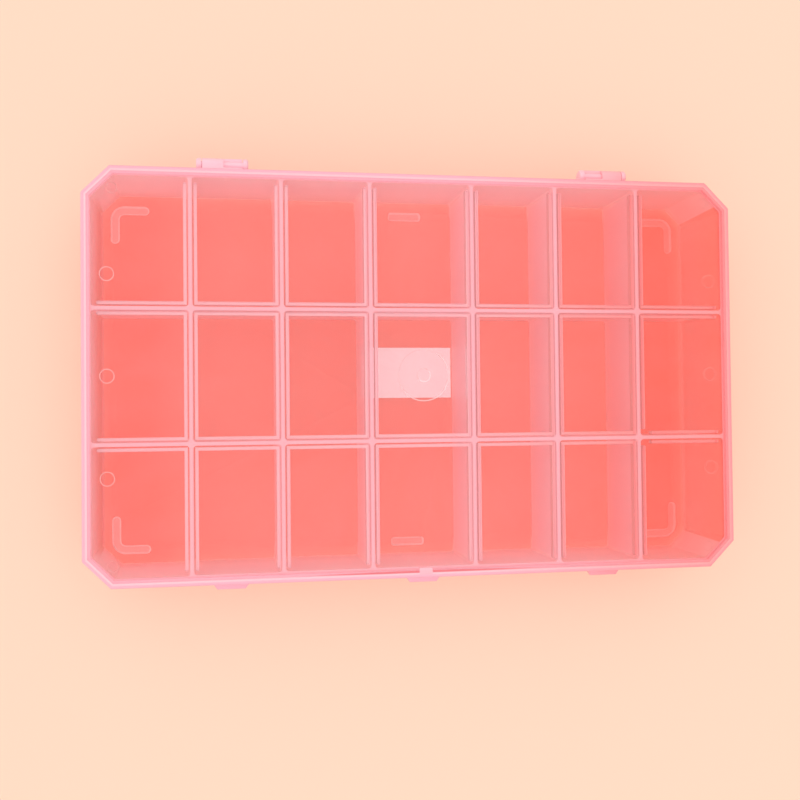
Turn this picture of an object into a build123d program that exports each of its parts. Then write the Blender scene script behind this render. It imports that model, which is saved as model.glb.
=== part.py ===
"""Flat storage box with a hinged lid and 21 moulded compartments.

Two translucent polypropylene mouldings make the box. The tray is one piece with its
floor, walls, divider grid, feet, hinge ears and pins. The lid is one piece with its
skirt, rib frames, hinge knuckles and thumb lips, and it turns on the tray's two pins.

The origin is on the table, at the middle of the box. +X runs along the box, +Y points
to the hinges and +Z up. All sizes are in millimetres.
"""

import math
import os

from build123d import *

os.makedirs("parts", exist_ok=True)

# Box outline, measured over the lid's skirt
box_length = 240.0
box_width = 146.2
box_height = 36.0
corner_cut = 9.6

# Lid plate and skirt
plate_thickness = 1.4
skirt_thickness = 1.2
skirt_depth = 7.0
lid_edge_radius = 0.6
lid_corner_radius = 0.8

# Running clearances between the lid and the tray
skirt_clearance = 0.4
plate_clearance = 0.3

# Tray walls and floor
wall_thickness = 1.5
wall_draft = 2.0
floor_thickness = 1.6
rim_radius = 0.4
outer_floor_radius = 1.5
front_bow = 0.7

# Divider grid: seven columns by three rows
centre_column = 37.9
side_column = 32.0
middle_row = 47.5
divider_thickness = 1.3
divider_draft = 0.45
cell_corner_radius = 1.2
cell_floor_radius = 0.8

# Steps that round a long edge and a compartment's corner
edge_facets = 3
corner_facets = 4

# Feet and the frosted gate plate under the floor
foot_height = 1.0
foot_width = 3.3
foot_leg = 14.2
foot_corner_radius = 5.1
foot_inset = 5.0
foot_bar_length = 13.0
foot_bevel = 0.6
gate_plate_length = 35.2
gate_plate_width = 19.5
gate_plate_height = 0.5
gate_plate_offset = 2.2
gate_plate_radius = 1.5

# Rib frames under the lid, one round each compartment
rib_width = 1.15
rib_height = 3.0
rib_spacing = 3.66
rib_end_gap = 1.9
broken_rib_gap_x = 3.6
broken_rib_gap_y = 1.8

# Moulding marks on the lid
gate_ring_radius = 9.3
gate_ring_depth = 0.2
gate_nub_radius = 2.4
ejector_radius = 2.4
ejector_corner_radius = 1.8
ejector_depth = 0.15
ejector_inset = 8.6
ejector_spacing = 35.4
ejector_corner_inset = 7.8

# Hinges
hinge_spacing = 143.0
hinge_width = 18.4
ear_thickness = 1.8
ear_side_gap = 0.3
ear_end_bevel = 0.5
pin_radius = 1.2
pin_clearance = 0.05
knuckle_wall = 1.05
knuckle_gap = 0.3
knuckle_tie = 0.8
gusset_angle = 50.0

# Thumb lips on the lid and catches on the tray
lip_spacing = 138.6
lip_width = 13.2
lip_end_cut = 1.7
lip_reach = 2.3
lip_thickness = 1.6
lip_edge_radius = 0.4
catch_width = 5.0
catch_height = 1.6
catch_gap = 0.3
bead_width = 8.0
bead_height = 0.9
bead_reach = 0.15

# Heights worked out from the sizes above
plate_z = box_height - plate_thickness
rim_z = plate_z - plate_clearance
skirt_z = box_height - skirt_depth
rib_z = plate_z - rib_height
floor_z = foot_height + floor_thickness

# Insets of each face from the outside of the skirt
skirt_inset = skirt_thickness
rim_inset = skirt_inset + skirt_clearance
inner_inset = rim_inset + wall_thickness

# Divider centre lines
divider_xs = [
    side * (centre_column / 2 + step * side_column)
    for side, steps in ((-1, (2, 1, 0)), (1, (0, 1, 2)))
    for step in steps
]
divider_ys = [-middle_row / 2, middle_row / 2]
last_column = len(divider_xs)
last_row = len(divider_ys)

# Middle of each column, where the bow of the front wall sets its compartment's depth
column_ends = [inner_inset - box_length / 2, *divider_xs, box_length / 2 - inner_inset]
column_xs = [(start + end) / 2 for start, end in zip(column_ends, column_ends[1:])]

# Hinge axis: level with the skirt's lower edge, just clear of its outer face
knuckle_radius = pin_radius + pin_clearance + knuckle_wall
hinge_y = box_width / 2 + knuckle_gap + knuckle_radius
hinge_z = skirt_z
hinge_xs = [-hinge_spacing / 2, hinge_spacing / 2]
lip_xs = [-lip_spacing / 2, 0.0, lip_spacing / 2]


def half_sizes(inset):
    """Half length, half width and corner leg of the outline at an inset."""
    cut = corner_cut - inset * (2 - math.sqrt(2))
    return box_length / 2 - inset, box_width / 2 - inset, cut


def wall_shift(height):
    """How far the tray's walls lean inwards at a height below the rim."""
    return (rim_z - height) * math.tan(math.radians(wall_draft))


def divider_half(height):
    """Half the thickness of a divider at a height."""
    return divider_thickness / 2 + (rim_z - height) * math.tan(math.radians(divider_draft))


def bow(x):
    """Inward bow of the tray's front wall at x."""
    half_x, _, cut = half_sizes(rim_inset)
    return front_bow * (1 - (x / (half_x - cut)) ** 2)


def lid_outline(inset, height):
    """Plan of the lid at an inset, as a face at a height."""
    half_x, half_y, cut = half_sizes(inset)
    corners = [
        (-half_x + cut, -half_y),
        (half_x - cut, -half_y),
        (half_x, -half_y + cut),
        (half_x, half_y - cut),
        (half_x - cut, half_y),
        (-half_x + cut, half_y),
        (-half_x, half_y - cut),
        (-half_x, -half_y + cut),
    ]
    return Pos(0, 0, height) * Polygon(*corners, align=None)


def tray_outline(inset, height):
    """Plan of the tray at an inset, with the bow in its front wall, at a height."""
    half_x, half_y, cut = half_sizes(inset)
    corners = [
        (-half_x + cut, -half_y),
        *[(x, -half_y + bow(x)) for x in divider_xs],
        (half_x - cut, -half_y),
        (half_x, -half_y + cut),
        (half_x, half_y - cut),
        (half_x - cut, half_y),
        (-half_x + cut, half_y),
        (-half_x, half_y - cut),
        (-half_x, -half_y + cut),
    ]
    return Pos(0, 0, height) * Polygon(*corners, align=None)


def edge_steps(radius):
    """Inset and height of the steps that round an edge, from its flat face to its wall."""
    angles = [math.radians(90 * step / edge_facets) for step in range(edge_facets + 1)]
    return [(radius * (1 - math.sin(angle)), radius * (1 - math.cos(angle))) for angle in angles]


def rounded(corners, radius):
    """Corner points of a plan with each corner rounded in a few steps."""
    points = []
    for index, corner in enumerate(corners):
        corner = Vector(*corner)
        before = (Vector(*corners[index - 1]) - corner).normalized()
        after = (Vector(*corners[(index + 1) % len(corners)]) - corner).normalized()
        half_angle = math.radians(before.get_angle(after) / 2)
        centre = corner + (before + after).normalized() * (radius / math.sin(half_angle))
        start = corner + before * (radius / math.tan(half_angle)) - centre
        turn = 180 - 2 * math.degrees(half_angle)
        for step in range(corner_facets + 1):
            points.append(centre + start.rotate(Axis.Z, turn * step / corner_facets))
    return Polygon(*points, align=None)


def cell_outline(column, row, height, inset):
    """Plan of one compartment at a height and an inset, with rounded corners."""
    half_x, half_y, cut = half_sizes(inner_inset + wall_shift(height) + inset)
    half = divider_half(height) + inset
    left = -half_x if column == 0 else divider_xs[column - 1] + half
    right = half_x if column == last_column else divider_xs[column] - half
    front = -half_y + bow(column_xs[column]) if row == 0 else divider_ys[row - 1] + half
    back = half_y if row == last_row else divider_ys[row] - half

    corners = []
    for x, y, outer in (
        (left, front, column == 0 and row == 0),
        (right, front, column == last_column and row == 0),
        (right, back, column == last_column and row == last_row),
        (left, back, column == 0 and row == last_row),
    ):
        if outer:
            along = (x - math.copysign(cut, x), y)
            across = (x, y - math.copysign(cut, y))
            corners += [along, across] if x * y < 0 else [across, along]
        else:
            corners.append((x, y))
    return Pos(0, 0, height) * rounded(corners, cell_corner_radius - inset)


def cell_pocket(column, row):
    """The hollow of one compartment, with a rounded edge round its floor."""
    sections = [
        cell_outline(column, row, floor_z + rise, inset) for inset, rise in edge_steps(cell_floor_radius)
    ]
    return loft([*sections, cell_outline(column, row, rim_z, 0)], ruled=True)


def side_profile(points, x, width):
    """A solid of constant profile in the YZ plane, centred on x."""
    plane = Plane(origin=(x, 0, 0), x_dir=(0, 1, 0), z_dir=(1, 0, 0))
    return extrude(plane * Polygon(*points, align=None), width / 2, both=True)


def x_cylinder(x, width, radius):
    """A cylinder on the hinge axis, centred on x."""
    return Pos(x, hinge_y, hinge_z) * Rot(0, 90, 0) * Cylinder(radius, width)


def tray_shell():
    """Floor, walls and divider grid, cut out of one drafted block."""
    steps = [(foot_height + rise, inset) for inset, rise in edge_steps(outer_floor_radius)]
    steps += [(rim_z - drop, inset) for inset, drop in reversed(edge_steps(rim_radius))]
    sections = [tray_outline(rim_inset + wall_shift(height) + inset, height) for height, inset in steps]
    block = loft(sections, ruled=True)
    pockets = [cell_pocket(column, row) for column in range(last_column + 1) for row in range(last_row + 1)]
    return block - pockets


def foot(plan):
    """One foot pad of a given plan, bevelled where it meets the table."""
    pad = extrude(plan, foot_height + floor_thickness / 2)
    return chamfer(pad.faces().sort_by(Axis.Z)[0].edges(), foot_bevel)


def feet():
    """Four corner feet and two bars, which stand on the table."""
    half_x, half_y, _ = half_sizes(rim_inset + wall_shift(foot_height) + foot_inset)
    leg = foot_leg - foot_width
    pads = []
    for side_x in (-1, 1):
        for side_y in (-1, 1):
            corner_x = side_x * (half_x - foot_width / 2)
            corner_y = side_y * (half_y - foot_width / 2)
            route = FilletPolyline(
                (corner_x - side_x * leg, corner_y),
                (corner_x, corner_y),
                (corner_x, corner_y - side_y * leg),
                radius=foot_corner_radius - foot_width / 2,
            )
            plan = trace(route, foot_width)
            for end in (route @ 0, route @ 1):
                plan += Pos(end.X, end.Y) * Circle(foot_width / 2)
            pads.append(foot(plan))
    for side_y in (-1, 1):
        plan = Pos(0, side_y * (half_y - foot_width / 2)) * RectangleRounded(
            foot_bar_length, foot_width, foot_width / 3
        )
        pads.append(foot(plan))
    return pads


def gate_plate():
    """Raised frosted plate under the middle compartment."""
    plan = RectangleRounded(gate_plate_length, gate_plate_width, gate_plate_radius)
    underside = foot_height - gate_plate_height
    return Pos(0, gate_plate_offset, underside) * extrude(plan, gate_plate_height + floor_thickness / 2)


def hinge_ears(x):
    """Two ears with gussets, and the pin between them."""
    wall_y = box_width / 2 - rim_inset - wall_shift(skirt_z) - wall_thickness / 2
    web_z = skirt_z - knuckle_gap
    angle = math.radians(gusset_angle)
    tangent_y = hinge_y + knuckle_radius * math.cos(angle)
    tangent_z = hinge_z - knuckle_radius * math.sin(angle)
    gusset_z = tangent_z - (tangent_y - wall_y) / math.tan(angle)
    web = [(wall_y, web_z), (hinge_y, web_z), (tangent_y, tangent_z), (wall_y, gusset_z)]
    ears = []
    for side in (-1, 1):
        ear_x = x + side * (hinge_width - ear_thickness) / 2
        barrel = x_cylinder(ear_x, ear_thickness, knuckle_radius)
        outer_end = barrel.edges().filter_by(GeomType.CIRCLE).sort_by(Axis.X)[-1 if side > 0 else 0]
        ears.append(side_profile(web, ear_x, ear_thickness))
        ears.append(chamfer(outer_end, ear_end_bevel))
    return ears + [x_cylinder(x, hinge_width - ear_thickness, pin_radius)]


def catch(x):
    """Catch on the tray's front wall, which the lid's bead passes under."""
    wall_y = -box_width / 2 + rim_inset + bow(x)
    tip_y = -box_width / 2 + skirt_inset + catch_gap
    top_z = rim_z - rim_radius - catch_gap
    low_z = top_z - catch_height
    root_y = wall_y + wall_thickness / 2
    profile = [
        (root_y, low_z),
        (tip_y, low_z),
        (tip_y, low_z + catch_height / 2),
        (wall_y, top_z),
        (root_y, top_z),
    ]
    return side_profile(profile, x, catch_width)


def base_tray():
    """The tray as one moulding."""
    ears = [piece for x in hinge_xs for piece in hinge_ears(x)]
    catches = [catch(x) for x in lip_xs]
    return tray_shell() + [*feet(), gate_plate(), *ears, *catches]


def lid_shell():
    """Plate and skirt of the lid, with its rounded top edge."""
    block = extrude(lid_outline(0, skirt_z), skirt_depth)
    upright = block.edges().filter_by(Axis.Z)
    block = fillet(upright, lid_corner_radius)
    block = fillet(block.faces().sort_by(Axis.Z)[-1].edges(), lid_edge_radius)
    return block - extrude(lid_outline(skirt_inset, skirt_z), plate_z - skirt_z)


def rib(start, end):
    """Plan of one rib between two points, with bevelled ends."""
    run = math.dist(start, end)
    angle = math.degrees(math.atan2(end[1] - start[1], end[0] - start[0]))
    middle = ((start[0] + end[0]) / 2, (start[1] + end[1]) / 2)
    plan = Rectangle(run + rib_width, rib_width)
    return Pos(*middle) * Rot(0, 0, angle) * chamfer(plan.vertices(), rib_width / 4)


def rib_frame(column, row):
    """Plan of the ribs of one compartment, which run along its dividers only."""
    half_x, half_y, _ = half_sizes(inner_inset + rib_end_gap + rib_width / 2)
    offset = rib_spacing / 2
    left = -half_x if column == 0 else divider_xs[column - 1] + offset
    right = half_x if column == last_column else divider_xs[column] - offset
    front = -half_y if row == 0 else divider_ys[row - 1] + offset
    back = half_y if row == last_row else divider_ys[row] - offset

    broken_y = {0: back, 1: front}.get(row) if column == last_column else None
    gap_front = broken_rib_gap_y if broken_y == front else 0
    gap_back = broken_rib_gap_y if broken_y == back else 0
    ribs = []
    if column > 0:
        ribs.append(rib((left, front + gap_front), (left, back - gap_back)))
    if column < last_column:
        ribs.append(rib((right, front), (right, back)))
    for y, divided in ((front, row > 0), (back, row < last_row)):
        if divided:
            ribs.append(rib((left + (broken_rib_gap_x if y == broken_y else 0), y), (right, y)))
            if column > 0 and y != broken_y:
                ribs.append(Pos(left, y) * Rectangle(rib_width, rib_width))
            if column < last_column:
                ribs.append(Pos(right, y) * Rectangle(rib_width, rib_width))
    return Sketch() + ribs


def rib_frames():
    """All the rib frames, from half way through the plate down to their tips."""
    plans = [rib_frame(column, row) for column in range(last_column + 1) for row in range(last_row + 1)]
    return [Pos(0, 0, rib_z) * extrude(plan, rib_height + plate_thickness / 2) for plan in plans]


def lid_knuckle(x):
    """Knuckle round one pin: its outer half wraps over the pin, its inner half under it."""
    inward = -math.copysign(1, x)
    length = hinge_width - 2 * (ear_thickness + ear_side_gap)
    half = length / 2
    low_z = hinge_z - knuckle_radius
    high_z = hinge_z + knuckle_radius
    skirt_y = box_width / 2
    root_y = skirt_y - skirt_thickness / 2
    root = [(root_y, hinge_z), (hinge_y, hinge_z), (hinge_y, high_z), (root_y, high_z)]
    nose = [(skirt_y, low_z), (hinge_y, low_z), (hinge_y, hinge_z), (skirt_y, hinge_z)]
    knuckle = x_cylinder(x, length, knuckle_radius) + [
        side_profile(root, x, length),
        side_profile(nose, x + inward * half / 2, half),
    ]

    inner_y = hinge_y - pin_radius - pin_clearance
    outer_y = hinge_y + knuckle_radius
    open_half = half - knuckle_tie / 2
    below = [(inner_y, low_z), (outer_y, low_z), (outer_y, hinge_z), (inner_y, hinge_z)]
    above = [(inner_y, high_z), (outer_y, high_z), (outer_y, hinge_z), (inner_y, hinge_z)]
    return knuckle - [
        x_cylinder(x, length, pin_radius + pin_clearance),
        side_profile(below, x - inward * (length - open_half) / 2, open_half),
        side_profile(above, x + inward * (length - open_half) / 2, open_half),
    ]


def thumb_lip(x):
    """Lip on the skirt's front edge, with slanted ends."""
    skirt_y = -box_width / 2
    plan = Polygon(
        (x - lip_width / 2, skirt_y + skirt_thickness / 2),
        (x - lip_width / 2, skirt_y),
        (x - lip_width / 2 + lip_end_cut, skirt_y - lip_reach),
        (x + lip_width / 2 - lip_end_cut, skirt_y - lip_reach),
        (x + lip_width / 2, skirt_y),
        (x + lip_width / 2, skirt_y + skirt_thickness / 2),
        align=None,
    )
    lip = extrude(Pos(0, 0, skirt_z) * plan, lip_thickness)
    front_edges = lip.faces().sort_by(Axis.Y)[0].edges().filter_by(Axis.X)
    return fillet(front_edges, lip_edge_radius)


def catch_bead(x):
    """Bead inside the skirt, below the tray's catch."""
    inner_y = -box_width / 2 + skirt_thickness
    profile = [
        (inner_y - skirt_thickness / 2, skirt_z),
        (inner_y, skirt_z),
        (inner_y + bead_reach, skirt_z + bead_height / 2),
        (inner_y, skirt_z + bead_height),
        (inner_y - skirt_thickness / 2, skirt_z + bead_height),
    ]
    return side_profile(profile, x, bead_width)


def moulding_marks():
    """Shallow marks cut in the lid: the gate ring above, the ejector pins below."""
    ring = Circle(gate_ring_radius) - Circle(gate_nub_radius)
    marks = [Pos(0, 0, box_height - gate_ring_depth) * extrude(ring, gate_ring_depth)]
    for side in (-1, 1):
        pin_x = side * (box_length / 2 - ejector_inset)
        for step in (-1, 0, 1):
            disc = extrude(Circle(ejector_radius), ejector_depth)
            marks.append(Pos(pin_x, step * ejector_spacing, plate_z) * disc)
        for side_y in (-1, 1):
            corner_x = side * (box_length / 2 - ejector_inset - ejector_corner_radius)
            corner_y = side_y * (box_width / 2 - ejector_corner_inset)
            disc = extrude(Circle(ejector_corner_radius), ejector_depth)
            marks.append(Pos(corner_x, corner_y, plate_z) * disc)
    return marks


def lid():
    """The lid as one moulding."""
    knuckles = [lid_knuckle(x) for x in hinge_xs]
    lips = [part(x) for x in lip_xs for part in (thumb_lip, catch_bead)]
    return lid_shell() + [*rib_frames(), *knuckles, *lips] - moulding_marks()


for name, shape in {"base_tray": base_tray(), "lid": lid()}.items():
    export_step(shape, f"parts/{name}.step")
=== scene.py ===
"""Compartment storage box: a see-through tray under a hinged lid, both moulded in pink plastic.

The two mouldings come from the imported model. Each is copied, its loose triangles are merged, its
edges are softened as a mould leaves them, and it is dressed in a see-through polypropylene that
is clear in the flat panels and milky in the ribs, rims and walls.
"""

import logging
import math
from dataclasses import asdict, dataclass
from enum import Enum

import bmesh
import bpy
from mathutils import Matrix, Vector


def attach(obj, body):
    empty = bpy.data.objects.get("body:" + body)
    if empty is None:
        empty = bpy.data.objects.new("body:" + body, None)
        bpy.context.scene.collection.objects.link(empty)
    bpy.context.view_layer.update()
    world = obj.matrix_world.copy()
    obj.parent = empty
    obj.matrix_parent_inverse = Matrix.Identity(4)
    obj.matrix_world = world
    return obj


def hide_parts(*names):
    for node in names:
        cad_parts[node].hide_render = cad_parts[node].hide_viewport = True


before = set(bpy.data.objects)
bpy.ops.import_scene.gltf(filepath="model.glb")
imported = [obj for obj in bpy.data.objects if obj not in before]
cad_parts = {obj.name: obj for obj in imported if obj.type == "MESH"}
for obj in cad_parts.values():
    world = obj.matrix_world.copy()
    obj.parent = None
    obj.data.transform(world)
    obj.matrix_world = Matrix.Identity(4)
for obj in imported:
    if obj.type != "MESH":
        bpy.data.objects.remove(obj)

log = logging.getLogger("storage_box")

MM = 0.001
LIGHT_BOUNCES = 24
CLEAR_BOUNCES = 48
Colour = tuple[float, float, float]
Span = tuple[float, float]
Socket = bpy.types.NodeSocket
Value = Socket | float


def linear(red: int, green: int, blue: int) -> Colour:
    """Turns a colour as a screen shows it into scene-linear values, by the sRGB curve.

    Args:
        red: Red, 0 to 255.
        green: Green, 0 to 255.
        blue: Blue, 0 to 255.

    Returns:
        The three linear values, 0 to 1.
    """
    values = []
    for channel in (red, green, blue):
        part = channel / 255
        values.append(part / 12.92 if part <= 0.04045 else ((part + 0.055) / 1.055) ** 2.4)
    return (values[0], values[1], values[2])


class Ray(Enum):
    """Kinds of ray that a shader can tell apart."""

    CAMERA = "Is Camera Ray"
    SHADOW = "Is Shadow Ray"
    GLOSSY = "Is Glossy Ray"
    TRANSMISSION = "Is Transmission Ray"


class NodeSheet:
    """A node tree with short calls for the nodes that the finishes use."""

    def __init__(self, tree: bpy.types.NodeTree) -> None:
        """Keeps the tree that the nodes go into."""
        self.tree = tree

    def add(self, kind: str, **settings: object) -> bpy.types.Node:
        """Adds a node.

        Args:
            kind: The node's Blender type.
            **settings: Properties to set on it.

        Returns:
            The new node.
        """
        node = self.tree.nodes.new(kind)
        for name, value in settings.items():
            setattr(node, name, value)
        return node

    def feed(self, socket: Socket, value: Socket | float | tuple[float, ...]) -> None:
        """Links a socket to a socket, or sets its plain value.

        Args:
            socket: The input to fill.
            value: An output socket, a number or a tuple.
        """
        if isinstance(value, Socket):
            self.tree.links.new(value, socket)
        else:
            socket.default_value = value

    def math(
        self, operation: str, first: Value, second: Value = 0.0, clamp: bool = False
    ) -> Socket:
        """Adds a Math node.

        Args:
            operation: The node's operation.
            first: The first number or socket.
            second: The second number or socket.
            clamp: Whether the result is held between 0 and 1.

        Returns:
            The result's socket.
        """
        node = self.add("ShaderNodeMath", operation=operation, use_clamp=clamp)
        self.feed(node.inputs[0], first)
        self.feed(node.inputs[1], second)
        return node.outputs[0]

    def both(self, first: Value, second: Value) -> Socket:
        """Multiplies two masks, so that the result shows where both do."""
        return self.math("MULTIPLY", first, second)

    def apart(self, first: Value, second: Value) -> Socket:
        """Gives how far two numbers lie apart."""
        return self.math("ABSOLUTE", self.math("SUBTRACT", first, second))

    def ramp(
        self, value: Value, low: Value, high: Value, start: float = 0.0, end: float = 1.0
    ) -> Socket:
        """Adds a smooth step.

        Args:
            value: The number that is stepped.
            low: Where the step starts.
            high: Where the step ends.
            start: The result below the step.
            end: The result above the step.

        Returns:
            The result's socket.
        """
        node = self.add("ShaderNodeMapRange", interpolation_type="SMOOTHSTEP", clamp=True)
        for socket, item in zip(node.inputs, (value, low, high, start, end)):
            self.feed(socket, item)
        return node.outputs[0]

    def fall(self, value: Value, low: Value, high: Value) -> Socket:
        """Adds a smooth step down, from 1 below the low end to 0 above the high end."""
        return self.ramp(value, low, high, 1.0, 0.0)

    def blend(self, factor: Value, under: Socket | Colour, over: Socket | Colour) -> Socket:
        """Lays one colour over another.

        Args:
            factor: How much of the upper colour shows.
            under: The lower colour.
            over: The upper colour.

        Returns:
            The colour's socket.
        """
        node = self.add("ShaderNodeMix", data_type="RGBA")
        self.feed(node.inputs["Factor"], factor)
        self.feed(node.inputs[6], (*under, 1.0) if isinstance(under, tuple) else under)
        self.feed(node.inputs[7], (*over, 1.0) if isinstance(over, tuple) else over)
        return node.outputs[2]

    def scalar(self, factor: Value, under: Value, over: Value) -> Socket:
        """Blends one number into another.

        Args:
            factor: How much of the second number shows.
            under: The first number.
            over: The second number.

        Returns:
            The number's socket.
        """
        node = self.add("ShaderNodeMix", data_type="FLOAT")
        self.feed(node.inputs["Factor"], factor)
        self.feed(node.inputs[2], under)
        self.feed(node.inputs[3], over)
        return node.outputs[0]

    def group(self, tree: bpy.types.NodeTree, **values: Value) -> bpy.types.Node:
        """Places a node group.

        Args:
            tree: The group's tree.
            **values: Its inputs by name, with _ for a space.

        Returns:
            The group node.
        """
        node = self.add("ShaderNodeGroup", node_tree=tree)
        for name, value in values.items():
            self.feed(node.inputs[name.replace("_", " ").title()], value)
        return node

    def noise(self, place: Socket, scale: Value, detail: float) -> Socket:
        """Adds a noise texture.

        Args:
            place: Where it is read.
            scale: How fine it is.
            detail: How many finer layers it has.

        Returns:
            The noise as a number.
        """
        node = self.add("ShaderNodeTexNoise")
        for name, value in (("Vector", place), ("Scale", scale), ("Detail", detail)):
            self.feed(node.inputs[name], value)
        return node.outputs["Fac"]

    def band(self, effects: "Effects", depth: Value) -> Socket:
        """Masks a band of a given depth along the box's outline."""
        return self.group(effects.outline_band, band=depth).outputs["Mask"]

    def place(self) -> Socket:
        """Gives the place on the piece, in metres."""
        return self.add("ShaderNodeTexCoord").outputs["Object"]

    def axes(self) -> bpy.types.NodeOutputs:
        """Gives the place on the piece as x, y and z."""
        split = self.add("ShaderNodeSeparateXYZ")
        self.feed(split.inputs[0], self.place())
        return split.outputs

    def ray(self, kind: Ray) -> Socket:
        """Masks one kind of ray."""
        return self.add("ShaderNodeLightPath").outputs[kind.value]

    def choose(self, mask: Value, under: Socket, over: Socket, output: bpy.types.Node) -> None:
        """Shows one of two shaders.

        Args:
            mask: 0 for the first shader, 1 for the second.
            under: The first shader.
            over: The second shader.
            output: The tree's output node.
        """
        choice = self.add("ShaderNodeMixShader")
        for socket, item in zip(choice.inputs, (mask, under, over)):
            self.feed(socket, item)
        self.feed(output.inputs["Surface"], choice.outputs[0])


@dataclass
class Effects:
    """Shared surface effects, each a node group that is built once."""

    half_length: float = 120.0 * MM
    half_width: float = 73.1 * MM
    corner_sum: float = 183.5 * MM  # x plus y along the cut corners
    band_softness: float = 0.3 * MM
    cloud_scale: float = 26.0
    cloud_detail: float = 2.0
    cloud_edges: Span = (0.36, 0.68)
    streak_share: float = 0.5
    streak_turn: float = 5.0  # streaks fan out from the gate: this many to a radian
    streak_reach: float = 22.0
    streak_scale: float = 2.4
    streak_detail: float = 1.0
    scuff_lays: tuple[Span, ...] = ((0.5, 46.0), (2.1, 61.0))  # turn and stretch of each lay
    scuff_length: float = 5.0
    scuff_scale: float = 22.0
    scuff_level: float = 0.5  # a hairline runs where the noise crosses this
    scuff_line: float = 0.006
    handled_scale: float = 30.0
    handled_edges: Span = (0.52, 0.7)

    def __post_init__(self) -> None:
        """Builds the groups."""
        self.outline_band = self._outline_band()
        self.ring_mark = self._ring_mark()
        self.flow_clouds = self._flow_clouds()
        self.handling_scuffs = self._handling_scuffs()

    @staticmethod
    def _new(
        name: str, inputs: dict[str, float], outputs: tuple[str, ...] = ("Mask",)
    ) -> tuple[NodeSheet, bpy.types.NodeOutputs, bpy.types.NodeInputs]:
        """Starts a node group.

        Args:
            name: The group's name.
            inputs: Its number inputs with their defaults.
            outputs: Its number outputs.

        Returns:
            The sheet, what the group is given and what it gives back.
        """
        tree = bpy.data.node_groups.new(name, "ShaderNodeTree")
        number = "NodeSocketFloat"
        for label, value in inputs.items():
            socket = tree.interface.new_socket(label, in_out="INPUT", socket_type=number)
            socket.default_value = value
        for label in outputs:
            tree.interface.new_socket(label, in_out="OUTPUT", socket_type=number)
        sheet = NodeSheet(tree)
        given = sheet.add("NodeGroupInput").outputs
        return sheet, given, sheet.add("NodeGroupOutput").inputs

    def _outline_band(self) -> bpy.types.NodeTree:
        """Builds a band along the box's outline with its cut corners.

        Returns:
            The group, whose Mask is 1 in the band and 0 inside it.
        """
        sizes = {
            "Half Length": self.half_length,
            "Half Width": self.half_width,
            "Corner Sum": self.corner_sum,
            "Band": 0.0,
            "Softness": self.band_softness,
        }
        sheet, given, result = self._new("Outline band", sizes)
        x, y, _ = sheet.axes()
        aside, across = sheet.math("ABSOLUTE", x), sheet.math("ABSOLUTE", y)
        side = sheet.math("SUBTRACT", given["Half Length"], aside)
        end = sheet.math("SUBTRACT", given["Half Width"], across)
        total = sheet.math("SUBTRACT", given["Corner Sum"], sheet.math("ADD", aside, across))
        corner = sheet.math("MULTIPLY", total, math.sqrt(0.5))  # cut at 45 degrees
        depth = sheet.math("MINIMUM", sheet.math("MINIMUM", side, end), corner)
        inner = sheet.math("ADD", given["Band"], given["Softness"])
        sheet.feed(result["Mask"], sheet.fall(depth, given["Band"], inner))
        return sheet.tree

    def _ring_mark(self) -> bpy.types.NodeTree:
        """Builds the ring that a mould insert leaves, the same in all four quarters of the box.

        Returns:
            The group, whose Mask is 1 on the ring.
        """
        sizes = {"X": 0.0, "Y": 0.0, "Radius": 2.4 * MM, "Line": 0.2 * MM, "Strength": 1.0}
        sheet, given, result = self._new("Ring mark", sizes)
        x, y, _ = sheet.axes()
        squares = []
        for label, axis in (("X", x), ("Y", y)):
            offset = sheet.math("SUBTRACT", sheet.math("ABSOLUTE", axis), given[label])
            squares.append(sheet.math("POWER", offset, 2.0))
        reach = sheet.math("SQRT", sheet.math("ADD", *squares))
        line = sheet.fall(sheet.apart(reach, given["Radius"]), 0.0, given["Line"])
        sheet.feed(result["Mask"], sheet.both(line, given["Strength"]))
        return sheet.tree

    def _flow_clouds(self) -> bpy.types.NodeTree:
        """Builds the faint clouds that the melt leaves as it flows out from the gate.

        Returns:
            The group, with a Mask of the clouds and a Height for a bump.
        """
        values = {"Scale": self.cloud_scale, "Streaks": self.streak_share}
        sheet, given, result = self._new("Flow clouds", values, ("Mask", "Height"))
        place = sheet.place()
        cloud = sheet.noise(place, given["Scale"], self.cloud_detail)
        x, y, _ = sheet.axes()
        reach = sheet.add("ShaderNodeVectorMath", operation="LENGTH")
        sheet.feed(reach.inputs[0], place)
        turn = sheet.math("MULTIPLY", sheet.math("ARCTAN2", y, x), self.streak_turn)
        outwards = sheet.math("MULTIPLY", reach.outputs["Value"], self.streak_reach)
        fan = sheet.add("ShaderNodeCombineXYZ")
        sheet.feed(fan.inputs["X"], turn)
        sheet.feed(fan.inputs["Y"], outwards)
        streak = sheet.noise(fan.outputs[0], self.streak_scale, self.streak_detail)
        mixed = sheet.scalar(given["Streaks"], cloud, streak)
        sheet.feed(result["Mask"], sheet.ramp(mixed, *self.cloud_edges))
        sheet.feed(result["Height"], mixed)
        return sheet.tree

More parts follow.
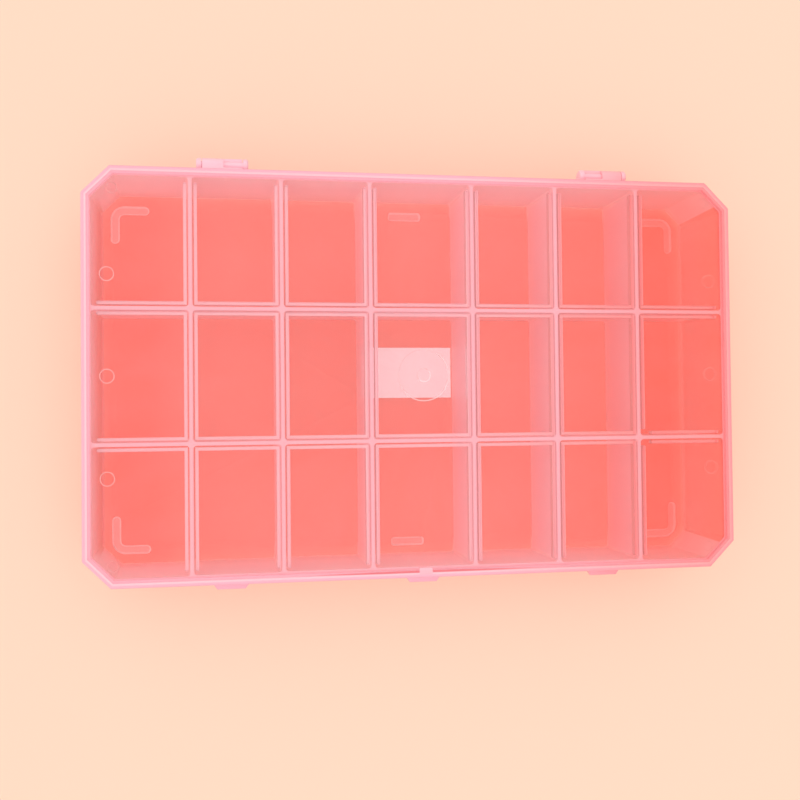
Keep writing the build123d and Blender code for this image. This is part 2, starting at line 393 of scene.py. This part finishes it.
    def _handling_scuffs(self) -> bpy.types.NodeTree:
        """Builds the hairline scuffs that a shelf and fingers leave.

        Returns:
            The group, with a Mask of the scuffs.
        """
        sheet, given, result = self._new("Handling scuffs", {"Amount": 0.5})
        place = sheet.place()
        lines = 0.0
        for turn, stretch in self.scuff_lays:
            lay = sheet.add("ShaderNodeMapping")
            sheet.feed(lay.inputs["Vector"], place)
            sheet.feed(lay.inputs["Rotation"], (0.0, 0.0, turn))
            sheet.feed(lay.inputs["Scale"], (stretch, self.scuff_length, self.scuff_length))
            hair = sheet.noise(lay.outputs[0], self.scuff_scale, 0.0)
            line = sheet.fall(sheet.apart(hair, self.scuff_level), 0.0, self.scuff_line)
            lines = sheet.math("MAXIMUM", lines, line)
        handled = sheet.ramp(sheet.noise(place, self.handled_scale, 0.0), *self.handled_edges)
        sheet.feed(result["Mask"], sheet.both(sheet.both(lines, handled), given["Amount"]))
        return sheet.tree


class Spot:
    """The place on a piece, with its distances from the middle."""

    def __init__(self, sheet: NodeSheet) -> None:
        """Reads the place into the sheet."""
        self.x, self.y, self.z = sheet.axes()
        self.aside = sheet.math("ABSOLUTE", self.x)
        self.across = sheet.math("ABSOLUTE", self.y)


@dataclass(frozen=True)
class Zone:
    """Colour and cover of the plastic in one kind of place."""

    colour: Colour
    cover: float


Layers = list[tuple[Value, Zone]]


@dataclass(frozen=True)
class RingLine:
    """A fine ring left by a mould insert, placed by its middle in the rear right quarter."""

    x: float
    y: float
    radius: float
    line: float
    strength: float


@dataclass(frozen=True)
class Polypropylene:
    """See-through polypropylene, clear where it is flat and milky where it is deep."""

    name: str
    panel: Zone
    rib: Zone
    rim: Zone
    roughness: float
    cloud: float
    scuff: float
    shade: Colour = (0.985, 0.955, 0.955)  # of the light that falls through
    warm: Colour = linear(255, 112, 84)  # painted shade and warm reflected light, growing towards the right end as in the photo
    warm_share: float = 0.42
    warm_span: Span = (20.0 * MM, 120.0 * MM)
    refraction: float = 1.49
    haze_cover: float = 0.3
    haze_roughness: float = 0.35
    bump_strength: float = 0.12
    bump_depth: float = 0.4 * MM

    def start(self) -> tuple[bpy.types.Material, NodeSheet, bpy.types.Node]:
        """Starts the material, which lets the lamp's light through with a light tint.

        Returns:
            The material, its sheet and its shader node.
        """
        material = bpy.data.materials.new(self.name)
        material.use_nodes = True
        nodes = material.node_tree.nodes
        sheet = NodeSheet(material.node_tree)
        shader = nodes["Principled BSDF"]
        sheet.feed(shader.inputs["IOR"], self.refraction)
        tint = sheet.add("ShaderNodeBsdfTransparent")
        sheet.feed(tint.inputs["Color"], (*self.shade, 1.0))
        shadow = sheet.ray(Ray.SHADOW)
        sheet.choose(shadow, shader.outputs[0], tint.outputs[0], nodes["Material Output"])
        return material, sheet, shader

    def dress(
        self, sheet: NodeSheet, shader: bpy.types.Node, effects: Effects, layers: Layers
    ) -> None:
        """Joins the zones, the painted warm shade, the clouds and the scuffs to the shader.

        Args:
            sheet: The material's sheet.
            shader: Its shader node.
            effects: The shared effects.
            layers: Masks with the zone that each lays over the ones before it.
        """
        colour, cover = self.panel.colour, self.panel.cover
        for mask, zone in layers:
            colour = sheet.blend(mask, colour, zone.colour)
            cover = sheet.scalar(mask, cover, zone.cover)
        # painted shade with warm reflected light, stronger towards the right end
        warm_shade = sheet.ramp(sheet.axes()["X"], *self.warm_span, 0.0, self.warm_share)
        colour = sheet.blend(warm_shade, colour, self.warm)
        clouds = sheet.group(effects.flow_clouds).outputs
        scuffs = sheet.group(effects.handling_scuffs, amount=self.scuff).outputs
        haze = sheet.math("MULTIPLY", clouds["Mask"], self.cloud)
        haze = sheet.math("MAXIMUM", haze, scuffs["Mask"])
        colour = sheet.blend(haze, colour, self.rim.colour)
        veil = sheet.math("MULTIPLY", haze, self.haze_cover)
        rough = sheet.math("MULTIPLY", haze, self.haze_roughness)
        bump = sheet.add("ShaderNodeBump")
        sheet.feed(bump.inputs["Strength"], self.bump_strength)
        sheet.feed(bump.inputs["Distance"], self.bump_depth)
        sheet.feed(bump.inputs["Height"], clouds["Height"])
        sheet.feed(shader.inputs["Base Color"], colour)
        sheet.feed(shader.inputs["Alpha"], sheet.math("ADD", cover, veil, clamp=True))
        sheet.feed(shader.inputs["Roughness"], sheet.math("ADD", self.roughness, rough))
        sheet.feed(shader.inputs["Normal"], bump.outputs[0])


@dataclass
class Moulding:
    """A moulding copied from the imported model, with its edges softened."""

    node: str
    body: str
    slot: str
    name: str
    weld: float = 0.002 * MM
    flat_angle: float = math.radians(0.5)
    sharp_angle: float = math.radians(40)
    edge_radius: float = 0.15 * MM
    edge_steps: int = 2
    edge_roundness: float = 0.5

    def build(self) -> bpy.types.Object:
        """Copies the node, merges its triangles and rounds its sharp edges.

        Returns:
            The new piece, which rides on its body and stands for the node.
        """
        mesh = bpy.data.meshes.new(self.name)
        shape = bmesh.new()
        shape.from_mesh(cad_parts[self.node].data)
        bmesh.ops.remove_doubles(shape, verts=shape.verts, dist=self.weld)
        bmesh.ops.dissolve_limit(
            shape, angle_limit=self.flat_angle, verts=shape.verts, edges=shape.edges
        )
        sharp = [
            edge for edge in shape.edges
            if edge.is_manifold and edge.calc_face_angle() > self.sharp_angle
        ]
        bmesh.ops.bevel(
            shape, geom=sharp, offset=self.edge_radius, offset_type="OFFSET",
            segments=self.edge_steps, profile=self.edge_roundness,
            affect="EDGES", clamp_overlap=True, material=-1,
        )
        for face in shape.faces:
            face.smooth = True
        shape.to_mesh(mesh)
        shape.free()
        mesh.set_sharp_from_angle(angle=self.sharp_angle)
        piece = bpy.data.objects.new(self.name, mesh)
        bpy.context.scene.collection.objects.link(piece)
        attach(piece, self.body)
        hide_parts(self.node)
        log.info("%s: %d faces", self.name, len(mesh.polygons))
        return piece


@dataclass
class Tray:
    """The tray with its floor, walls, dividers, feet and hinge ears.

    A span is the stretch in which a look starts or ends. Heights are above the table, and the
    other places are distances from the box's middle or, where so named, from its outline.
    """

    rim_height: float = 34.3 * MM
    floor_height: float = 2.6 * MM
    foot_bevel: Span = (0.02 * MM, 0.06 * MM)
    foot_top: Span = (0.9 * MM, 0.95 * MM)
    underside_top: Span = (1.8 * MM, 1.9 * MM)
    patch_top: Span = (2.7 * MM, 2.8 * MM)
    wall_start: Span = (2.7 * MM, 3.5 * MM)
    floor_line_start: Span = (2.75 * MM, 2.85 * MM)
    floor_line_end: Span = (3.2 * MM, 3.4 * MM)
    wall_climb: Span = (floor_height, rim_height)
    wall_fade: Span = (floor_height, 16.6 * MM)
    foot_fade: Span = (floor_height, 32.3 * MM)
    row_climb: Span = (rim_height / 3, rim_height)
    rim_start: Span = (34.0 * MM, 34.2 * MM)
    climb_share: float = 0.85
    fade_share: float = 0.35
    outer_column: Span = (80.0 * MM, 100.0 * MM)
    end_wall: Span = (114.6 * MM, 115.2 * MM)
    floor_line_reach: Span = (60.0 * MM, 66.0 * MM)
    front_to_back: Span = (-1.0 * MM, 1.0 * MM)  # the front wall's bow counts on one side only
    hinge_start: Span = (71.7 * MM, 71.9 * MM)
    row_middle: float = 23.75 * MM  # the two long dividers
    row_side: Span = (1.3 * MM, 1.5 * MM)
    rim_depth: float = 3.2 * MM
    shell_depth: float = 2.5 * MM
    wall_depth: float = 3.45 * MM
    wall_draft: float = math.radians(2)
    front: float = 71.5 * MM
    front_bow: float = 0.7 * MM
    front_half: float = 110.4 * MM
    catch_start: Span = (0.05 * MM, 0.1 * MM)
    patch_offset: float = 2.2 * MM
    patch_side: Span = (17.6 * MM, 17.7 * MM)
    patch_end: Span = (9.75 * MM, 9.85 * MM)
    finish: Polypropylene = Polypropylene(
        name="Milky pink tray plastic",
        panel=Zone(linear(255, 124, 118), 0.2),
        rib=Zone(linear(255, 212, 222), 0.66),
        rim=Zone(linear(252, 186, 202), 0.9),
        roughness=0.3,
        cloud=0.06,
        scuff=0.15,
        warm_span=(45.0 * MM, 125.0 * MM),
    )
    underside: Zone = Zone(linear(255, 126, 119), 0.54)
    # painted shade: the floors of the outer columns drawn darker
    far_floor: Zone = Zone(linear(254, 100, 88), 0.64)
    # painted shade, darker towards the foot of both end walls
    wall_foot: Zone = Zone(linear(238, 108, 112), 0.55)
    # painted shade: the right end wall drawn darker and more orange, away from the lamp
    right_wall: Zone = Zone(linear(255, 118, 106), 0.72)
    shell: Zone = Zone(linear(255, 178, 188), 0.58)
    # painted highlight along the rounded edge where the walls meet the floor
    floor_line: Zone = Zone(linear(255, 190, 190), 0.6)
    inner_wall: Zone = Zone(linear(255, 208, 216), 0.76)
    # painted light on the upper parts of the long dividers, which lie in shade beside the lid's
    # ribs
    row_top: Zone = Zone(linear(255, 216, 224), 0.9)
    hinge: Zone = Zone(linear(255, 206, 218), 0.92)
    catch: Zone = Zone(linear(255, 200, 210), 0.92)
    ridge: Zone = Zone(linear(255, 198, 212), 0.85)
    sole: Zone = Zone(linear(255, 180, 176), 0.85)
    sole_edge: Zone = Zone(linear(255, 226, 224), 0.97)
    patch: Zone = Zone(linear(255, 252, 255), 0.97)

    def build(self, effects: Effects) -> bpy.types.Object:
        """Builds the tray's moulding and dresses it.

        Args:
            effects: The shared effects.

        Returns:
            The finished piece.
        """
        piece = Moulding(
            node="base_tray", body="tray", slot="tray_plastic", name="tray_moulding"
        ).build()
        piece.data.materials.clear()
        piece.data.materials.append(self.material(effects))
        return piece

    def material(self, effects: Effects) -> bpy.types.Material:
        """Makes the tray's plastic, with a milkier rim, walls, foot edges and patch.

        Args:
            effects: The shared effects.

        Returns:
            The material.
        """
        material, sheet, shader = self.finish.start()
        spot = Spot(sheet)
        bow = self.bow(sheet, spot)
        under = sheet.fall(spot.z, *self.underside_top)
        # painted shade on the floors of the outer columns
        far = sheet.both(under, sheet.ramp(spot.aside, *self.outer_column))
        sole = sheet.fall(spot.z, *self.foot_top)
        layers = [
            (under, self.underside),
            (far, self.far_floor),
            *self.wall_layers(sheet, effects, spot, bow),
            (sole, self.sole),
            (sheet.both(sole, sheet.ramp(spot.z, *self.foot_bevel)), self.sole_edge),
            *self.rim_layers(sheet, effects, spot, bow),
            (self.patch_mask(sheet, spot), self.patch),
        ]
        self.finish.dress(sheet, shader, effects, layers)
        return material

    def bow(self, sheet: NodeSheet, spot: Spot) -> Socket:
        """Works out how far the front wall bows inwards.

        Args:
            sheet: The material's sheet.
            spot: The place on the tray.

        Returns:
            The depth's socket.
        """
        along = sheet.math("POWER", sheet.math("DIVIDE", spot.x, self.front_half), 2.0)
        return sheet.math("MULTIPLY", sheet.math("SUBTRACT", 1.0, along), self.front_bow)

    def wall_layers(
        self, sheet: NodeSheet, effects: Effects, spot: Spot, bow: Socket
    ) -> Layers:
        """Masks the dividers and the walls, inside and outside.

        Args:
            sheet: The material's sheet.
            effects: The shared effects.
            spot: The place on the tray.
            bow: How far the front wall bows inwards.

        Returns:
            The masks with their zones, from the lowest layer up.
        """
        wall = sheet.ramp(spot.z, *self.wall_start)
        rib = sheet.both(wall, sheet.ramp(spot.z, *self.wall_climb, self.climb_share, 1.0))
        off_row = sheet.apart(spot.across, self.row_middle)
        row = sheet.fall(off_row, *self.row_side)
        # painted light on the long dividers' upper parts
        row_top = sheet.both(row, sheet.ramp(spot.z, *self.row_climb))
        below_rim = sheet.math("SUBTRACT", self.rim_height, spot.z)
        lean = sheet.math("MULTIPLY", below_rim, math.tan(self.wall_draft))
        set_back = sheet.both(bow, sheet.fall(spot.y, *self.front_to_back))
        depth = sheet.math("ADD", sheet.math("ADD", lean, self.wall_depth), set_back)
        fade = sheet.ramp(spot.z, *self.wall_fade, self.fade_share, 1.0)
        inside = sheet.both(sheet.both(sheet.band(effects, depth), fade), wall)
        side = sheet.ramp(spot.aside, *self.end_wall)
        # painted shade on the right end wall
        right = sheet.both(side, sheet.ramp(spot.x, 0.0, self.end_wall[0]))
        # painted shade at the foot of the end walls
        foot = sheet.both(side, sheet.fall(spot.z, *self.foot_fade))
        # painted highlight along the floor's edge near the front and back walls
        line_end = sheet.fall(spot.z, *self.floor_line_end)
        line = sheet.both(sheet.ramp(spot.z, *self.floor_line_start), line_end)
        floor_line = sheet.both(line, sheet.ramp(spot.across, *self.floor_line_reach))
        shell = sheet.band(effects, sheet.math("ADD", lean, self.shell_depth))
        return [
            (rib, self.finish.rib),
            (row_top, self.row_top),
            (inside, self.inner_wall),
            (right, self.right_wall),
            (foot, self.wall_foot),
            (floor_line, self.floor_line),
            (sheet.both(shell, wall), self.shell),
        ]

    def rim_layers(
        self, sheet: NodeSheet, effects: Effects, spot: Spot, bow: Socket
    ) -> Layers:
        """Masks the tops of the walls, the hinge ears and the catches.

        Args:
            sheet: The material's sheet.
            effects: The shared effects.
            spot: The place on the tray.
            bow: How far the front wall bows inwards.

        Returns:
            The masks with their zones, from the lowest layer up.
        """
        top = sheet.ramp(spot.z, *self.rim_start)
        outer = sheet.band(effects, self.rim_depth)
        proud = sheet.math("SUBTRACT", sheet.math("SUBTRACT", bow, self.front), spot.y)
        return [
            (top, self.ridge),
            (sheet.both(top, outer), self.finish.rim),
            (sheet.ramp(spot.y, *self.hinge_start), self.hinge),
            (sheet.ramp(proud, *self.catch_start), self.catch),
        ]

    def patch_mask(self, sheet: NodeSheet, spot: Spot) -> Socket:
        """Masks the frosted plate under the middle compartment.

        Args:
            sheet: The material's sheet.
            spot: The place on the tray.

        Returns:
            The mask's socket.
        """
        side = sheet.fall(spot.aside, *self.patch_side)
        end = sheet.fall(sheet.apart(spot.y, self.patch_offset), *self.patch_end)
        return sheet.both(sheet.both(side, end), sheet.fall(spot.z, *self.patch_top))


@dataclass
class Lid:
    """The lid with its plate, skirt, rib frames, knuckles and thumb lips.

    A span is the stretch in which a look starts or ends. Heights are above the table, and bands
    and depths are measured from the lid's outline.
    """

    plate_start: Span = (34.35 * MM, 34.5 * MM)
    half_width: float = 73.1 * MM
    outside: Span = (73.15 * MM, 73.3 * MM)
    skirt_band: float = 0.95 * MM
    seat_band: float = 1.6 * MM
    veil_band: float = 2.7 * MM
    slit_depth: float = 2.1 * MM
    slit_width: float = 0.6 * MM
    slit_length: float = 60.0 * MM
    slit_edge: float = 0.2 * MM
    catch_side: Span = (2.2 * MM, 2.6 * MM)
    catch_reach: Span = (3.2 * MM, 4.0 * MM)
    gate_rings: tuple[RingLine, ...] = (
        RingLine(0.0, 0.0, 9.3 * MM, 0.4 * MM, 0.7),
        RingLine(0.0, 0.0, 2.4 * MM, 0.35 * MM, 1.0),
    )
    # painted shade: how much the gate's rings dim at the rear left
    gate_shade: float = 0.15
    pin_rings: tuple[RingLine, ...] = (
        RingLine(111.4 * MM, 0.0, 2.4 * MM, 0.25 * MM, 0.55),
        RingLine(111.4 * MM, 35.4 * MM, 2.4 * MM, 0.25 * MM, 0.55),
        RingLine(109.6 * MM, 65.3 * MM, 1.8 * MM, 0.2 * MM, 0.25),
    )
    pin_fade: float = 0.6
    finish: Polypropylene = Polypropylene(
        name="Clear pink lid plastic",
        panel=Zone(linear(255, 160, 152), 0.1),
        rib=Zone(linear(255, 218, 224), 0.92),
        rim=Zone(linear(250, 182, 199), 0.85),
        roughness=0.18,
        cloud=0.06,
        scuff=0.3,
        warm_share=0.45,
        warm_span=(0.0, 120.0 * MM),
    )
    seat: Zone = Zone(linear(255, 214, 222), 0.7)
    veil: Zone = Zone(linear(253, 184, 198), 0.5)
    # painted shade in the gap between the skirt and the bowed front wall
    slit: Zone = Zone(linear(238, 118, 126), 0.75)
    catch: Zone = Zone(linear(255, 198, 208), 0.7)
    # the moulded ring lines, drawn lighter as a painted highlight
    ring: Zone = Zone(linear(255, 232, 236), 0.7)
    hinge: Zone = Zone(linear(255, 206, 218), 0.92)

    def build(self, effects: Effects) -> bpy.types.Object:
        """Builds the lid's moulding and dresses it.

        Args:
            effects: The shared effects.

        Returns:
            The finished piece.
        """
        piece = Moulding(
            node="lid", body="cover", slot="lid_plastic", name="lid_moulding"
        ).build()
        piece.data.materials.clear()
        piece.data.materials.append(self.material(effects))
        return piece

    def material(self, effects: Effects) -> bpy.types.Material:
        """Makes the lid's plastic, with milkier ribs, skirt and knuckles.

        Args:
            effects: The shared effects.

        Returns:
            The material.
        """
        material, sheet, shader = self.finish.start()
        spot = Spot(sheet)
        slit, catch = self.front_masks(sheet, spot)
        outside = sheet.ramp(spot.across, *self.outside)
        skirt = sheet.math("MAXIMUM", sheet.band(effects, self.skirt_band), outside)
        layers = [
            (sheet.fall(spot.z, *self.plate_start), self.finish.rib),
            (self.ring_mask(sheet, effects, spot), self.ring),
            (sheet.band(effects, self.veil_band), self.veil),
            (slit, self.slit),
            (sheet.band(effects, self.seat_band), self.seat),
            (catch, self.catch),
            (skirt, self.finish.rim),
            (sheet.both(outside, sheet.ramp(spot.y, 0.0, self.half_width)), self.hinge),
        ]
        self.finish.dress(sheet, shader, effects, layers)
        return material

    def front_masks(self, sheet: NodeSheet, spot: Spot) -> tuple[Socket, Socket]:
        """Masks the painted shade in the slit behind the skirt, wide at the bowed wall's middle,
        and its catch.

        Args:
            sheet: The material's sheet.
            spot: The place on the lid.

        Returns:
            The mask of the slit's painted shade and the catch's mask.
        """
        depth = sheet.math("ADD", spot.y, self.half_width)
        width = sheet.ramp(spot.aside, 0.0, self.slit_length, self.slit_width, 0.0)
        inside = sheet.math("SUBTRACT", width, sheet.apart(depth, self.slit_depth))
        slit = sheet.ramp(inside, 0.0, self.slit_edge)
        side = sheet.fall(spot.aside, *self.catch_side)
        return slit, sheet.both(side, sheet.fall(depth, *self.catch_reach))

    def ring_mask(self, sheet: NodeSheet, effects: Effects, spot: Spot) -> Socket:
        """Masks the gate's rings, faint at the rear left, and the pins', fainter to the right.

        Args:
            sheet: The material's sheet.
            effects: The shared effects.
            spot: The place on the lid.

        Returns:
            The mask's socket.
        """
        # the rings are real moulded lines drawn as a painted highlight; the gate's dim at the rear
        # left as painted shade
        forward = sheet.math("SUBTRACT", spot.x, spot.y)
        pins = sheet.ramp(spot.x, -self.half_width, self.half_width, 1.0, self.pin_fade)
        fades = [(ring, pins) for ring in self.pin_rings]
        for ring in self.gate_rings:
            fade = sheet.ramp(forward, -ring.radius, ring.radius / 2, self.gate_shade, 1.0)
            fades.append((ring, fade))
        total = 0.0
        for ring, fade in fades:
            mark = sheet.group(effects.ring_mark, **asdict(ring)).outputs["Mask"]
            total = sheet.math("MAXIMUM", total, sheet.both(mark, fade))
        return total


@dataclass
class Studio:
    """A plain pale floor, plain soft light and the photograph's camera."""

    floor_colour: Colour = linear(252, 214, 190)
    backdrop_colour: Colour = linear(255, 222, 198)
    floor_side: float = 8.0
    floor_drop: float = 0.05 * MM  # keeps the soles off the floor's plane
    floor_roughness: float = 0.9
    floor_shine: float = 0.1
    light_colour: Colour = (1.0, 1.0, 1.0)
    world_strength: float = 0.7
    lamp_power: float = 1.45
    lamp_spread: float = math.radians(125)
    lamp_place: tuple[float, float, float] = (-0.6, 0.0, 1.0)
    camera_place: tuple[float, float, float] = (-0.08301, -0.01538, 0.43107)
    camera_right: tuple[float, float, float] = (0.9825, -0.0108, 0.1858)
    camera_view: tuple[float, float, float] = (0.1860, 0.0227, -0.9823)
    lens: float = 50.17
    sensor: float = 36.0
    shift: Span = (-0.0025, -0.0095)
    nearest: float = 10.0 * MM

    def build(self) -> None:
        """Builds the floor, the light and the camera."""
        self.floor()
        self.world()
        self.lamp()
        self.camera()

    def floor(self) -> None:
        """Lays the floor that the feet stand on."""
        mesh = bpy.data.meshes.new("floor")
        shape = bmesh.new()
        bmesh.ops.create_grid(shape, x_segments=1, y_segments=1, size=self.floor_side / 2)
        bmesh.ops.translate(shape, verts=shape.verts, vec=(0.0, 0.0, -self.floor_drop))
        shape.to_mesh(mesh)
        shape.free()
        floor = bpy.data.objects.new("floor", mesh)
        bpy.context.scene.collection.objects.link(floor)
        material = bpy.data.materials.new("Pale floor")
        material.use_nodes = True
        shader = material.node_tree.nodes["Principled BSDF"]
        shader.inputs["Base Color"].default_value = (*self.floor_colour, 1.0)
        shader.inputs["Roughness"].default_value = self.floor_roughness
        shader.inputs["Specular IOR Level"].default_value = self.floor_shine
        mesh.materials.append(material)

    def world(self) -> None:
        """Sets an even white light, and a floor-coloured backdrop for the eye and reflections."""
        world = bpy.data.worlds.new("Studio")
        world.use_nodes = True
        nodes = world.node_tree.nodes
        sheet = NodeSheet(world.node_tree)
        light = nodes["Background"]
        sheet.feed(light.inputs["Color"], (*self.light_colour, 1.0))
        sheet.feed(light.inputs["Strength"], self.world_strength)
        backdrop = sheet.add("ShaderNodeBackground")
        sheet.feed(backdrop.inputs["Color"], (*self.backdrop_colour, 1.0))
        mirrored = sheet.math("MAXIMUM", sheet.ray(Ray.GLOSSY), sheet.ray(Ray.TRANSMISSION))
        seen = sheet.math("MAXIMUM", sheet.ray(Ray.CAMERA), mirrored)
        sheet.choose(seen, light.outputs[0], backdrop.outputs[0], nodes["World Output"])
        bpy.context.scene.world = world

    def lamp(self) -> None:
        """Sets one wide soft lamp at the upper left, which lights the whole floor evenly."""
        light = bpy.data.lights.new("Softbox", "SUN")
        light.angle = self.lamp_spread
        light.energy = self.lamp_power
        lamp = bpy.data.objects.new("Softbox", light)
        lamp.location = self.lamp_place
        lamp.rotation_euler = (-Vector(self.lamp_place)).to_track_quat("-Z", "Y").to_euler()
        bpy.context.scene.collection.objects.link(lamp)

    def camera(self) -> None:
        """Sets the camera that was fitted to the photograph."""
        lens = bpy.data.cameras.new("Camera")
        lens.lens = self.lens
        lens.sensor_width = self.sensor
        lens.shift_x, lens.shift_y = self.shift
        lens.clip_start = self.nearest
        camera = bpy.data.objects.new("Camera", lens)
        view = Vector(self.camera_view).normalized()
        right = Vector(self.camera_right)
        right = (right - view * right.dot(view)).normalized()
        axes = Matrix((right, right.cross(view), -view)).transposed()
        camera.matrix_world = Matrix.Translation(self.camera_place) @ axes.to_4x4()
        bpy.context.scene.collection.objects.link(camera)
        bpy.context.scene.camera = camera


def set_render() -> None:
    """Sets plain colours and enough bounces for the layers of plastic."""
    scene = bpy.context.scene
    scene.view_settings.view_transform = "Standard"
    scene.cycles.max_bounces = LIGHT_BOUNCES
    scene.cycles.transmission_bounces = LIGHT_BOUNCES
    scene.cycles.transparent_max_bounces = CLEAR_BOUNCES


def main() -> None:
    """Builds the box and its studio."""
    logging.basicConfig(level=logging.INFO, format="%(message)s")
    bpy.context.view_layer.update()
    effects = Effects()
    Studio().build()
    Tray().build(effects)
    Lid().build(effects)
    set_render()


if __name__ == "__main__":
    main()
